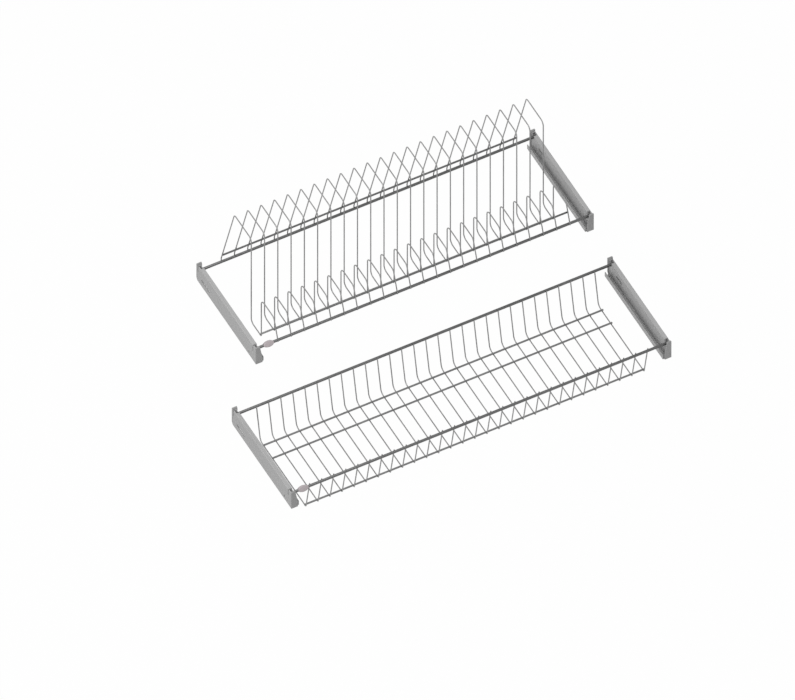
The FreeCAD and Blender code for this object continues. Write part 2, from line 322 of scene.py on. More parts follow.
STEEL_WIRE = SteelFinish("drawn_wire_steel", 0.29)
STEEL_BAR = SteelFinish("satin_bar_steel", 0.13, roughness=0.34)
STEEL_ROD = SteelFinish("satin_rod_steel", 0.19, roughness=0.34)
WELD = SteelFinish("weld_steel", 0.13, roughness=0.5)
PROFILE = AluminiumFinish("anodised_profile", 0.42)
HOOK_GREY = MouldedFinish("hook_moulding", 0.36)
TAG_PINK = MouldedFinish("tag_moulding", 0.44, tint=(1.06, 0.95, 0.98), roughness=0.42)


def settled(mesh: Mesh, name: str) -> bpy.types.Mesh:
    """Turn a shape into mesh data.

    Args:
        mesh: the shape, which is freed.
        name: the data's name.

    Returns:
        The mesh data.
    """
    data = bpy.data.meshes.new(name)
    mesh.to_mesh(data)
    mesh.free()
    return data


def linked(name: str, data: Any) -> bpy.types.Object:
    """Put a new object in the scene.

    Args:
        name: its name.
        data: its mesh, lamp or camera data.

    Returns:
        The object.
    """
    made = bpy.data.objects.new(name, data)
    bpy.context.scene.collection.objects.link(made)
    return made


def as_piece(name: str, mesh: Mesh, material: Material, body: Body,
             nodes: Iterable[str] = (), smooth: bool = True) -> None:
    """Turn a finished shape into a piece that rides on a body.

    Args:
        name: the piece's name.
        mesh: the shape, which is freed.
        material: its finish.
        body: what it rides on.
        nodes: the CAD nodes that it stands for.
        smooth: whether its faces are shaded as one round surface.
    """
    for face in mesh.faces:
        face.smooth = smooth
    data = settled(mesh, name)
    data.materials.append(material)
    piece = linked(name, data)
    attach(piece, body.value)
    if nodes:
        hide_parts(*nodes)
    LOG.info("%s: %d faces", name, len(data.polygons))


def dress(names: Iterable[str], material: Material) -> None:
    """Put a finish on CAD nodes that keep their shape.

    Args:
        names: the nodes.
        material: their finish.
    """
    for name in names:
        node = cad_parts[name]
        node.data.materials.clear()
        node.data.materials.append(material)
        LOG.info("%s: dressed in %s", name, material.name)


def in_space(point: Point, x: float = 0.0) -> Vector:
    """Return a side view's point in space, at x."""
    return Vector((x, -point[0], point[1]))


def newest(made: Iterable[Any], kind: type) -> list[Any]:
    """Return the items of one kind among newly made geometry."""
    return [item for item in made if isinstance(item, kind)]


def soften(mesh: Mesh, edges: list[Any], width: float, segments: int) -> None:
    """Round edges off.

    Args:
        mesh: the shape.
        edges: its edges to round.
        width: how far the round reaches into each face.
        segments: the number of its steps.
    """
    bmesh.ops.bevel(mesh, geom=edges, offset=width, offset_type="OFFSET", segments=segments,
                    profile=0.5, affect="EDGES", material=-1)


def arc(centre: Point, radius: float, first: float, last: float, steps: int) -> list[Point]:
    """Return the points of an arc.

    Args:
        centre: its centre.
        radius: its radius.
        first: the angle where it starts.
        last: the angle where it ends.
        steps: the number of its steps.

    Returns:
        One point more than the steps.
    """
    angles = (first + (last - first) * step / steps for step in range(steps + 1))
    return [(centre[0] + radius * math.cos(angle), centre[1] + radius * math.sin(angle))
            for angle in angles]


def eased(corner: Point, edge: float, side: int, middle: Point) -> list[Point]:
    """Return three points in place of a sharp upper corner, from its top face to its side.

    Args:
        corner: the sharp corner.
        edge: how far the rounding reaches along each face.
        side: 1 where the shape lies on the corner's right, -1 on its left.
        middle: how far the middle point lies inward and down, as shares of edge.

    Returns:
        The three points.
    """
    across, up = corner
    return [(across + side * edge, up),
            (across + side * middle[0] * edge, up - middle[1] * edge), (across, up - edge)]


def tangent_tip(corner: Point, centre: Point, distance: float, side: int, past: float) -> Point:
    """Return the end of a line from corner that passes centre at distance.

    Args:
        corner: where the line starts.
        centre: the axis that it passes.
        distance: how far it passes from that axis.
        side: 1 to pass on the left of the way to centre, -1 on the right.
        past: how far it runs on.

    Returns:
        The line's end.
    """
    df, du = centre[0] - corner[0], centre[1] - corner[1]
    span = math.hypot(df, du)
    angle = math.atan2(du, df) + side * math.asin(distance / span)
    run = math.sqrt(span * span - distance * distance) + past
    return corner[0] + run * math.cos(angle), corner[1] + run * math.sin(angle)


def beside(start: Point, end: Point, height: float, distance: float) -> tuple[Point, Point]:
    """Find the rod at a given height that lies against a sloping wire.

    Args:
        start: where the wire's axis starts.
        end: where it ends.
        height: the height of the rod's axis.
        distance: the distance between the two axes.

    Returns:
        The wire's point nearest to the rod, and the way from there to the rod, of length 1.
    """
    span = math.dist(start, end)
    df, du = (end[0] - start[0]) / span, (end[1] - start[1]) / span
    along = (height + df * distance - start[1]) / du
    return (start[0] + df * along, start[1] + du * along), (du, -df)


def prism(corners: Sequence[Vector], way: Vector) -> Mesh:
    """Return a flat outline, extruded.

    Args:
        corners: the outline's corners in space.
        way: how far and which way it is extruded.

    Returns:
        The solid.
    """
    mesh = bmesh.new()
    face = mesh.faces.new([mesh.verts.new(corner) for corner in corners])
    made = bmesh.ops.extrude_face_region(mesh, geom=[face])["geom"]
    bmesh.ops.translate(mesh, verts=newest(made, Vert), vec=way)
    bmesh.ops.recalc_face_normals(mesh, faces=mesh.faces)
    return mesh


def joined(first: Mesh, other: Mesh) -> Mesh:
    """Add a shape to another.

    Args:
        first: the shape that grows.
        other: the shape that is added, which is freed.

    Returns:
        The first shape.
    """
    data = settled(other, "part")
    first.from_mesh(data)
    bpy.data.meshes.remove(data)
    return first


def carve(body: Mesh, cutters: Sequence[Mesh]) -> Mesh:
    """Cut shapes out of a solid.

    Args:
        body: the solid, which is freed.
        cutters: the shapes to take away, likewise.

    Returns:
        The cut solid.
    """
    rough = [linked("rough", settled(mesh, "rough")) for mesh in (body, *cutters)]
    for cutter in rough[1:]:
        modifier = rough[0].modifiers.new("cut", "BOOLEAN")
        modifier.operation = "DIFFERENCE"
        modifier.solver = "EXACT"
        modifier.object = cutter
    bpy.context.view_layer.update()
    result = bmesh.new()
    result.from_object(rough[0], bpy.context.evaluated_depsgraph_get())
    for item in rough:
        data = item.data
        bpy.data.objects.remove(item)
        bpy.data.meshes.remove(data)
    return result


@dataclass
class BentWire:
    """A round wire bent in one upright plane, drawn from one tip to the other.

    Attributes:
        points: its tips and corners in side view.
        bends: the radius of each bend, on the wire's axis.
        radius, sides: the wire's own radius, and the number of its sides.
        arc_step: the most that one step of a bend turns.
        tip_share, nose_share: the radius and length of its rounded tips, against its radius.
    """

    points: Sequence[Point]
    bends: Sequence[float]
    radius: float
    sides: int = 14
    arc_step: float = math.radians(11.0)
    tip_share: float = 0.62
    nose_share: float = 0.35

    def _ends(self, made: Iterable[Any]) -> Ring:
        """Return the vertices and the ring's edges among newly made geometry."""
        verts = newest(made, Vert)
        return verts, [edge for edge in newest(made, Edge) if set(edge.verts) <= set(verts)]

    def _push(self, mesh: Mesh, ring: list[Any], way: Vector) -> Ring:
        """Extrude the open ring along a vector.

        Args:
            mesh: the wire so far.
            ring: the edges at its open end.
            way: the vector.

        Returns:
            The vertices and edges of the new ring.
        """
        verts, edges = self._ends(bmesh.ops.extrude_edge_only(mesh, edges=ring)["geom"])
        bmesh.ops.translate(mesh, verts=verts, vec=way)
        return verts, edges

    def _resize(self, mesh: Mesh, verts: list[Any], factor: float) -> None:
        """Scale a ring about its own centre."""
        middle = sum((vert.co for vert in verts), Vector()) / len(verts)
        bmesh.ops.scale(mesh, verts=verts, vec=(factor,) * 3, space=Matrix.Translation(-middle))

    def draw(self) -> Mesh:
        """Draw the wire, with its tips slightly rounded.

        Returns:
            The wire.
        """
        mesh = bmesh.new()
        spots = [in_space(point) for point in self.points]
        way = (spots[1] - spots[0]).normalized()
        turn = way.to_track_quat("Z", "X").to_matrix().to_4x4()
        nose = self.radius * self.nose_share
        start = bmesh.ops.create_circle(
            mesh, cap_ends=True, segments=self.sides, radius=self.radius * self.tip_share,
            matrix=Matrix.Translation(spots[0]) @ turn)
        ring = list({edge for vert in start["verts"] for edge in vert.link_edges
                     if len(edge.link_faces) == 1})
        verts, ring = self._push(mesh, ring, way * nose)
        self._resize(mesh, verts, 1.0 / self.tip_share)
        here = spots[0] + way * nose
        for index, radius in enumerate(self.bends, start=1):
            corner, after = spots[index], (spots[index + 1] - spots[index]).normalized()
            swing = math.atan2(way.y * after.z - way.z * after.y, way.dot(after))
            reach = radius * math.tan(abs(swing) / 2)
            start_arc = corner - way * reach
            verts, ring = self._push(mesh, ring, start_arc - here)
            inward = Vector((0.0, -way.z, way.y)) * math.copysign(1.0, swing)
            steps = max(2, math.ceil(abs(swing) / self.arc_step))
            made = bmesh.ops.spin(
                mesh, geom=ring, cent=start_arc + inward * radius, axis=(1.0, 0.0, 0.0),
                dvec=(0.0, 0.0, 0.0), angle=swing, steps=steps, use_merge=False,
                use_normal_flip=False, use_duplicate=False)["geom_last"]
            verts, ring = self._ends(made)
            way = after
            here = corner + after * reach
        verts, ring = self._push(mesh, ring, spots[-1] - way * nose - here)
        verts, ring = self._push(mesh, ring, way * nose)
        self._resize(mesh, verts, self.tip_share)
        bmesh.ops.contextual_create(mesh, geom=ring)
        bmesh.ops.remove_doubles(mesh, verts=mesh.verts, dist=SAME)
        bmesh.ops.recalc_face_normals(mesh, faces=mesh.faces)
        return mesh


@dataclass(frozen=True)
class RoundSlot:
    """A round-ended slot that lies along a rail, with its middle at f and u."""

    f: float
    u: float
    length: float
    width: float

    def outline(self) -> list[Point]:
        """Draw the slot from the side.

        Returns:
            Its outline.
        """
        radius = self.width / 2
        reach = self.length / 2 - radius
        front = arc((self.f + reach, self.u), radius, -QUARTER, QUARTER, 6)
        return front + arc((self.f - reach, self.u), radius, QUARTER, 3 * QUARTER, 6)


@dataclass
class RailPair:
    """Two side rails, each a box open underneath with a gutter inside, and their end hooks.

    Attributes:
        prefix, wall: the start of the pieces' names, and the outer faces' distance from x = 0.
        back_f, back_u: the place of the back bar's seat.
        seat_r, seat_wall, lean: a seat's radius, the wall outside it and its back's slope.
        top_u, bottom_u, sheet: the rail's top, bottom and wall thickness.
        box_w, bottom_w, lip_h: the widths of its box and of the whole, and the gutter's lip.
        corner, edge: the radius of its outer top corner, and its other edges' break.
        access_slot, screw_slot, screw_hole: the openings in the inner and the outer wall.
        rail_back, hook_back, hook_front: how far rail and hooks reach past the bars' axes.
        hook_reach, hook_foot_u, hook_foot_run: the hooks' inner parts: length, foot and slope.
        tenon: how far an inner part runs into its end part.
        rear_foot_u, rear_w, ear_u: the foot, width and top of the rear end part, the ear.
        nose_u, cap_t, cap_bottom_w, cap_wide_u: the front end plate's top, thickness, and width
            from the bottom up to a height.
        ear_edge, cap_edge: the rounding of the ear's and the plate's upper corners.
        ear_ease, cap_ease: the middle point of that rounding, as shares of it.
        cap_round: the rounding of the plate's front rim.
        slit_back, slit_front, slit_foot_u, slit_depth: the slit behind a bar.
        over: how far a cut runs past what it cuts.
    """

    prefix: str
    wall: float
    back_f: float = 0.0
    back_u: float = 0.0
    seat_r: float = 0.0033
    seat_wall: float = 0.0024
    lean: float = math.radians(30.0)
    top_u: float = 0.0064
    bottom_u: float = -0.0385
    sheet: float = 0.0015
    box_w: float = 0.0092
    bottom_w: float = 0.0186
    lip_h: float = 0.0125
    corner: float = 0.002
    edge: float = 0.0003
    access_slot: RoundSlot = RoundSlot(0.036, -0.0125, 0.026, 0.009)
    screw_slot: RoundSlot = RoundSlot(0.027, -0.021, 0.036, 0.006)
    screw_hole: RoundSlot = RoundSlot(0.214, -0.0295, 0.00452, 0.0045)
    rail_back: float = 0.008
    hook_back: float = 0.0125
    hook_front: float = 0.0082
    hook_reach: float = 0.022
    hook_foot_u: float = -0.027
    hook_foot_run: float = 0.008
    tenon: float = 0.001
    rear_foot_u: float = -0.032
    rear_w: float = 0.0106
    ear_u: float = 0.010
    ear_edge: float = 0.0014
    ear_ease: Point = (0.4, 0.25)
    nose_u: float = 0.0106
    cap_t: float = 0.003
    cap_bottom_w: float = 0.0152
    cap_wide_u: float = -0.026
    cap_edge: float = 0.0012
    cap_ease: Point = (0.4, 0.3)
    cap_round: float = 0.0007
    slit_back: float = 0.0065
    slit_front: float = 0.0047
    slit_foot_u: float = -0.010
    slit_depth: float = 0.006
    over: float = 0.006

    @property
    def cap_f(self) -> float:
        """Return where the extrusion ends, behind the front hook's end plate."""
        return BAR_SPACING + self.hook_front - self.cap_t

    def at(self, inward: float, f: float, u: float) -> Vector:
        """Return the right rail's point at inward, f and u."""
        return Vector((self.wall - inward, -self.back_f - f, self.back_u + u))

    def slab(self, outline: Sequence[Point], near: float, far: float) -> Mesh:
        """Return a plate with this side view, between two distances inward."""
        corners = [self.at(near, f, u) for f, u in outline]
        return prism(corners, Vector((near - far, 0.0, 0.0)))

    def mouth(self, bar_f: float) -> Mesh:
        """Return the cut that a bar's end comes down into.

        Args:
            bar_f: the place of the bar.

        Returns:
            The cut: open above, leaning at its back and round below.
        """
        top, right = self.nose_u + self.over, bar_f + self.seat_r
        back_f = bar_f - self.seat_r * math.cos(self.lean)
        back_u = -self.seat_r * math.sin(self.lean)
        below = arc((bar_f, 0.0), self.seat_r, math.pi + self.lean, math.tau, 6)[:-1]
        slope = (back_f - (top - back_u) * math.tan(self.lean), top)
        outline = [(right, 0.0), (right, top), slope, *below]
        return self.slab(outline, self.seat_wall, self.bottom_w + self.over)

    def slit(self, bar_f: float) -> Mesh:
        """Return the narrow upright slit behind a bar, cut in from the rail's outer face.

        Args:
            bar_f: the place of the bar.

        Returns:
            The cut.
        """
        back, front = bar_f - self.slit_back, bar_f - self.slit_front
        foot, top = self.slit_foot_u, self.nose_u + self.over
        outline = [(back, foot), (front, foot), (front, top), (back, top)]
        return self.slab(outline, -self.over, self.slit_depth)

    def section(self) -> list[Point]:
        """Draw the extrusion's section, with its sharp edges just broken.

        Returns:
            The section's corners, as (inward, u).
        """
        top, low, box, lip = self.top_u, self.bottom_u, self.box_w, self.bottom_w
        sheet, corner, edge, lip_top = self.sheet, self.corner, self.edge, low + self.lip_h
        return arc((corner, top - corner), corner, math.pi, QUARTER, 4) + [
            (box - edge, top), (box, top - edge),
            (box, low + sheet), (lip - sheet, low + sheet), (lip - sheet, lip_top - edge),
            (lip - sheet + edge, lip_top), (lip - edge, lip_top),
            (lip, lip_top - edge), (lip, low + edge), (lip - edge, low),
            (box - sheet, low), (box - sheet, top - sheet),
            (sheet, top - sheet), (sheet, low), (0.0, low),
        ]

    def draw_rail(self) -> Mesh:
        """Draw the right rail, with its slots and screw hole.

        Returns:
            The rail.
        """
        corners = [self.at(inward, -self.rail_back, u) for inward, u in self.section()]
        body = prism(corners, Vector((0.0, -self.cap_f - self.rail_back, 0.0)))
        half, seats = self.box_w / 2, (0.0, BAR_SPACING)
        return carve(body, [
            *map(self.mouth, seats), *map(self.slit, seats),
            self.slab(self.access_slot.outline(), half, self.box_w + self.over),
            self.slab(self.screw_slot.outline(), -self.over, half),
            self.slab(self.screw_hole.outline(), -self.over, half),
        ])

    def hook_core(self, bar_f: float, end_f: float, side: int) -> Mesh:
        """Draw a hook's inner part, which fills the rail's box.

        Args:
            bar_f: the place of the bar that it carries.
            end_f: where it ends, inside its end part.
            side: 1 to reach forward from there, -1 to reach back.

        Returns:
            The part, with its seat and slit.
        """
        under, foot, run = self.top_u - self.sheet, self.hook_foot_u, self.hook_foot_run
        tip_f = bar_f + side * self.hook_reach
        outline = [(end_f, foot), (tip_f - side * run, foot), (tip_f, foot + run),
                   (tip_f, under), (end_f, under)]
        core = self.slab(outline, self.sheet, self.box_w - self.sheet)
        return carve(core, [self.mouth(bar_f), self.slit(bar_f)])

    def draw_rear_hook(self) -> Mesh:
        """Draw the moulded hook with the raised ear, in the right rail's rear end.

        Returns:
            The hook.
        """
        ear = [(-self.hook_back, self.rear_foot_u), (-self.rail_back, self.bottom_u),
               (-self.rail_back, self.ear_u),
               *eased((-self.hook_back, self.ear_u), self.ear_edge, 1, self.ear_ease)]
        end = carve(self.slab(ear, 0.0, self.rear_w), [self.mouth(0.0), self.slit(0.0)])
        return joined(end, self.hook_core(0.0, -self.rail_back - self.tenon, 1))

    def draw_front_hook(self) -> Mesh:
        """Draw the moulded hook whose end plate closes the right rail's front end.

        Returns:
            The hook.
        """
        face = [(0.0, self.bottom_u), (self.cap_bottom_w, self.bottom_u),
                (self.cap_bottom_w, self.cap_wide_u),
                *reversed(eased((self.box_w, self.nose_u), self.cap_edge, -1, self.cap_ease)),
                *eased((0.0, self.nose_u), self.cap_edge, 1, self.cap_ease)]
        cap = prism([self.at(inward, self.cap_f, u) for inward, u in face],
                    Vector((0.0, -self.cap_t, 0.0)))
        front_y = -self.back_f - self.cap_f - self.cap_t
        rim = [line for line in cap.edges
               if all(abs(vert.co.y - front_y) < SAME for vert in line.verts)]
        soften(cap, rim, self.cap_round, 2)
        return joined(cap, self.hook_core(BAR_SPACING, self.cap_f + self.tenon, -1))

    def make(self, profile: Material, moulding: Material) -> None:
        """Make the rails and hooks of both sides, in place of the plain solids.

        Args:
            profile: the rails' finish.
            moulding: the hooks' finish.
        """
        kinds = (("rail", self.draw_rail, profile, Slot.RAIL),
                 ("hook_rear", self.draw_rear_hook, moulding, Slot.HOOK),
                 ("hook_front", self.draw_front_hook, moulding, Slot.HOOK))
        for kind, draw, finish, slot in kinds:
            for hand in ("right", "left"):
                mesh = draw()
                if hand == "left":
                    bmesh.ops.scale(mesh, verts=mesh.verts, vec=(-1.0, 1.0, 1.0))
                    bmesh.ops.reverse_faces(mesh, faces=mesh.faces)
                node = "%s_%s_%s" % (self.prefix, kind, hand)
                as_piece(node + "_form", mesh, finish, Body.RAILS, [node], smooth=False)


@dataclass
class Rack:
    """What both racks share: two heavy bars, and the sizes of wires, rods, welds and the tag.

    Attributes:
        name: the start of the nodes' names.
        body: what its pieces ride on.
        wall: the distance of its rails' outer faces from x = 0.
        count, pitch: the number of its bent wires and the distance between two.
        tag_at_wall: whether the tag lies at its solid's end near the wall.
        back_f, back_u: the place of the back bar.
        bar_r, rod_r, wire_r: the radii of bars, rods and wires.
        bar_inset: how far a bar ends inside the rails' outer faces.
        bar_break: the break of the bars' and rods' end edges.
        weld_gap: the gap between the surfaces of two pieces that are welded.
        wire_tip: how far a wire runs past the bar that it is welded to.
        bead_share, bead_shape: a bead's size against a wire's radius, and its three axes.
        tag_size: the tag's length, height and thickness.
        tag_round, tag_lean: the rounding of the tag's rims, and its slope.
    """

    name: str
    body: Body
    wall: float
    count: int
    pitch: float
    tag_at_wall: bool
    back_f: float = 0.0
    back_u: float = 0.0
    bar_r: float = 0.003
    rod_r: float = 0.002
    wire_r: float = 0.00125
    bar_inset: float = 0.0027
    bar_break: float = 0.0004
    weld_gap: float = 0.00002
    wire_tip: float = 0.0015
    bead_share: float = 0.7
    bead_shape: Triple = (1.4, 0.9, 0.9)
    tag_size: Triple = (0.024, 0.013, 0.0086)
    tag_round: float = 0.0022
    tag_lean: float = math.radians(50.0)

    @property
    def bar_touch(self) -> float:
        """Return the distance between the axes of a bar and a wire welded to it."""
        return self.bar_r + self.wire_r + self.weld_gap

    @property
    def rod_touch(self) -> float:
        """Return the distance between the axes of a rod and a wire welded to it."""
        return self.rod_r + self.wire_r + self.weld_gap

    @property
    def wire_xs(self) -> list[float]:
        """Return the places of the bent wires, centred on x = 0."""
        return [(i - (self.count - 1) / 2) * self.pitch for i in range(self.count)]

    def moved(self, mesh: Mesh, x: float = 0.0) -> Mesh:
        """Move a shape drawn about the back bar's axis to this rack and to x."""
        bmesh.ops.translate(mesh, verts=mesh.verts, vec=in_space((self.back_f, self.back_u), x))
        return mesh

    def make_beads(self, spots: Sequence[Point], material: Material) -> None:
        """Make one small flattened bead at each weld.

        Args:
            spots: the side view of one wire's welds.
            material: the beads' finish.
        """
        mesh = bmesh.new()
        for x in self.wire_xs:
            for spot in spots:
                verts = bmesh.ops.create_icosphere(
                    mesh, subdivisions=1, radius=self.wire_r * self.bead_share)["verts"]
                bmesh.ops.scale(mesh, verts=verts, vec=self.bead_shape)
                bmesh.ops.translate(mesh, verts=verts, vec=in_space(spot, x))
        name = "%s_rack_welds" % self.name
        as_piece(name, self.moved(mesh), material, self.body)

    def make_rod(self, name: str, half: float, place: Point, radius: float,
                 material: Material, nodes: Iterable[str] = ()) -> None:
        """Make one straight round rod across the rack, with slightly broken ends.

        Args:
            name: the piece's name.
            half: half of its length.
            place: its axis in side view.
            radius: its radius.
            material: its finish.
            nodes: the CAD nodes that it stands for.
        """
        mesh = bmesh.new()
        bmesh.ops.create_cone(mesh, cap_ends=True, cap_tris=False, segments=24, radius1=radius,
                              radius2=radius, depth=2 * half,
                              matrix=Matrix.Rotation(QUARTER, 4, "Y"))
        rims = [line for line in mesh.edges
                if abs(line.verts[0].co.x - line.verts[1].co.x) < half]
        soften(mesh, rims, self.bar_break, 2)
        bmesh.ops.translate(mesh, verts=mesh.verts, vec=in_space(place))
        as_piece(name, self.moved(mesh), material, self.body, nodes)

    def make_bars(self, material: Material) -> None:
        """Make the two heavy bars, whose ends rest in the hooks.

        Args:
            material: their finish.
        """
        for end, f in (("back", 0.0), ("front", BAR_SPACING)):
            node = "%s_bar_%s" % (self.name, end)
            half = self.wall - self.bar_inset
            self.make_rod(node + "_form", half, (f, 0.0), self.bar_r, material, [node])

    def make_tag(self, material: Material) -> None:
        """Make the bare oval tag that is snapped over the front bar.

        Args:
            material: its finish.
        """
        node = "%s_tag" % self.name
        length, height, thick = self.tag_size
        low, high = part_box(node)
        middle = low[0] + length / 2 if self.tag_at_wall else high[0] - length / 2
        mesh = bmesh.new()
        made = bmesh.ops.create_circle(mesh, cap_ends=True, segments=32, radius=0.5,
                                       matrix=Matrix.Translation((0.0, 0.0, -thick / 2)))
        bmesh.ops.scale(mesh, verts=made["verts"], vec=(length, height, 1.0))
        raised = bmesh.ops.extrude_face_region(mesh, geom=list(mesh.faces))["geom"]
        bmesh.ops.translate(mesh, verts=newest(raised, Vert), vec=(0.0, 0.0, thick))
        bmesh.ops.recalc_face_normals(mesh, faces=mesh.faces)
        rims = [line for line in mesh.edges
                if abs(line.verts[0].co.z - line.verts[1].co.z) < thick / 2]
        soften(mesh, rims, self.tag_round, 5)
        turn = Matrix.Rotation(self.tag_lean, 4, "X")
        bmesh.ops.transform(mesh, verts=mesh.verts, matrix=turn)
        bmesh.ops.translate(mesh, verts=mesh.verts, vec=in_space((BAR_SPACING, 0.0), middle))
        as_piece(node + "_form", self.moved(mesh), material, self.body, [node])


@dataclass
class PlateRack(Rack):
    """The upper rack, with bent dividers that hold plates on edge.

    Attributes:
        leg_start_u, leg_kink_u: where a divider's rear leg starts, and where it begins to lean.
        peak: the top of that leg.
        front_leg_f: the place of the upright front leg.
        floor_u, floor_end_f: the height of the floor and its front end.
        loop_top_u, loop_end_f: the top of the small front loop and its front corner.
        rod_u, loop_rod_u: the heights of the rods on the rear legs and on the loops.
        kink_bend, peak_bend, leg_bend, loop_bend, loop_end_bend: the radii of the bends.
        nest_share: how far inside the floor's front corner its bead lies, in wire radii.
        tip_bead: how far back of the tip and below the bar's touch its bead lies, likewise.
    """

    name: str = "plate"
    body: Body = Body.PLATES
    wall: float = 0.384
    count: int = 23
    pitch: float = 0.03017
    tag_at_wall: bool = False
    leg_start_u: float = -0.003
    leg_kink_u: float = 0.0057
    peak: Point = (0.0529, 0.1968)
    front_leg_f: float = 0.1253
    floor_u: float = -0.0573
    floor_end_f: float = 0.16865
    loop_top_u: float = 0.0553
    loop_end_f: float = 0.2225
    rod_u: float = 0.0259
    loop_rod_u: float = 0.027
    kink_bend: float = 0.004
    peak_bend: float = 0.009
    leg_bend: float = 0.011
    loop_bend: float = 0.014
    loop_end_bend: float = 0.009
    nest_share: float = 1.5
    tip_bead: Point = (0.9, 0.3)

    def route(self) -> list[Point]:
        """Return the side view of one divider, from its rear tip to its front tip."""
        loop_end = (self.loop_end_f, self.loop_top_u)
        return [
            (-self.bar_touch, self.leg_start_u),
            (-self.bar_touch, self.leg_kink_u),
            self.peak,
            (self.front_leg_f, self.peak[1]),
            (self.front_leg_f, self.floor_u),
            (self.floor_end_f, self.floor_u),
            (self.floor_end_f, self.loop_top_u),
            loop_end,
            tangent_tip(loop_end, (BAR_SPACING, 0.0), self.bar_touch, 1, self.wire_tip),
        ]

    def make_wires(self, material: Material) -> None:
        """Draw each divider as a round wire in place of its plain solid.

        Args:
            material: the wires' finish.
        """
        bends = [self.kink_bend, self.peak_bend, self.leg_bend, self.leg_bend, self.rod_touch,
                 self.loop_bend, self.loop_end_bend]
        for number, x in enumerate(self.wire_xs, start=1):
            mesh = self.moved(BentWire(self.route(), bends, self.wire_r).draw(), x)
            as_piece("divider_wire_%02d" % number, mesh, material, self.body,
                     ["plate_divider_%02d" % number])

    def loop_rod_place(self) -> Point:
        """Return the axis of the rod on the back of the front loops, in side view."""
        on_wire, way = beside(*self.route()[-2:], self.loop_rod_u, self.rod_touch)
        return on_wire[0] + way[0] * self.rod_touch, self.loop_rod_u

    def make_loop_rod(self, material: Material) -> None:
        """Make the rod on the front loops, as long as the rod in the floor's corner.

        Args:
            material: its finish.
        """
        low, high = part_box("plate_rod_front")
        half = (high[0] - low[0]) / 2
        self.make_rod("plate_loop_rod", half, self.loop_rod_place(), self.rod_r, material)

    def make_welds(self, material: Material) -> None:
        """Make the beads where the dividers meet the bars and rods.

        Args:
            material: the beads' finish.
        """
        route, nest = self.route(), self.wire_r * self.nest_share
        leg, way = beside(route[1], route[2], self.rod_u, self.rod_touch)
        loop_f, loop_u = self.loop_rod_place()
        tip_f, tip_u = route[-1]
        self.make_beads([
            (-self.bar_r, 0.0),
            (leg[0] + way[0] * self.wire_r, leg[1] + way[1] * self.wire_r),
            (self.floor_end_f - nest, self.floor_u + nest),
            (tip_f - self.wire_r * self.tip_bead[0],
             tip_u + self.wire_tip - self.wire_r * self.tip_bead[1]),
            (loop_f + self.rod_r, loop_u),
        ], material)


@dataclass
class GlassRack(Rack):
    """The lower rack, a shallow basket of cross wires for cups and glasses.

    Attributes:
        depth: how far the floor lies below the bars.
        basket_back_f, basket_front_f: the floor's back and front ends.
        rod_fs: the places of the rods on the floor, apart from the one in its front corner.
        back_bend: the radius of the wires' back bend.
        floor_bead, corner_bead: how far the beads lie above the floor's wires and behind the
            front corner, in wire radii.
        bar_bead, bar_bead_u: a bar's bead: its distance in bar radii, and its height.
    """

    name: str = "glass"
    body: Body = Body.GLASSES
    wall: float = 0.432
    count: int = 29
    pitch: float = 0.02745
    tag_at_wall: bool = True
    back_f: float = 0.2435
    back_u: float = -0.1687
    depth: float = 0.085
    basket_back_f: float = 0.0206
    basket_front_f: float = 0.2167
    rod_fs: Point = (0.0362, 0.0749)
    back_bend: float = 0.012
    floor_bead: float = 0.9
    corner_bead: float = 1.3
    bar_bead: float = 1.02
    bar_bead_u: float = -0.0006

    def route(self) -> list[Point]:
        """Return the side view of one cross wire, from back bar to front bar."""
        back, front = (self.basket_back_f, -self.depth), (self.basket_front_f, -self.depth)
        return [
            tangent_tip(back, (0.0, 0.0), self.bar_touch, -1, self.wire_tip),
            back,
            front,
            tangent_tip(front, (BAR_SPACING, 0.0), self.bar_touch, 1, self.wire_tip),
        ]

    def make_wires(self, material: Material) -> None:
        """Draw one round cross wire and repeat it along the rack.

        Args:
            material: the wires' finish.
        """
        bends = [self.back_bend, self.rod_touch]
        mesh = self.moved(BentWire(self.route(), bends, self.wire_r).draw())
        first = [*mesh.verts, *mesh.edges, *mesh.faces]
        for x in self.wire_xs[1:]:
            made = bmesh.ops.duplicate(mesh, geom=first)["geom"]
            bmesh.ops.translate(mesh, verts=newest(made, Vert), vec=(x, 0.0, 0.0))
        bmesh.ops.translate(mesh, verts=newest(first, Vert), vec=(self.wire_xs[0], 0.0, 0.0))
        as_piece("basket_wires", mesh, material, self.body, ["glass_wires"])

    def make_welds(self, material: Material) -> None:
        """Make the beads where the cross wires meet the bars and rods.

        Args:
            material: the beads' finish.
        """
        floor_u = self.wire_r * self.floor_bead - self.depth
        from_axis = self.bar_r * self.bar_bead
        corner_f = self.basket_front_f - self.wire_r * self.corner_bead
        self.make_beads([
            (from_axis, self.bar_bead_u), (BAR_SPACING - from_axis, self.bar_bead_u),
            *((f, floor_u) for f in (corner_f, *self.rod_fs)),
        ], material)


@dataclass(frozen=True)
class Lamp:
    """One square soft lamp, hung at a place, with the size of its side and its power in watts."""

    name: str
    place: Triple
    size: float
    power: float

    def make(self, aim: Triple) -> None:
        """Create the lamp, facing a point.

        Args:
            aim: that point.
        """
        data = bpy.data.lights.new(self.name, "AREA")
        data.shape = "SQUARE"
        data.size = self.size
        data.energy = self.power
        turn = (Vector(self.place) - Vector(aim)).to_track_quat("Z", "Y").to_matrix().to_4x4()
        linked(self.name, data).matrix_world = Matrix.Translation(self.place) @ turn


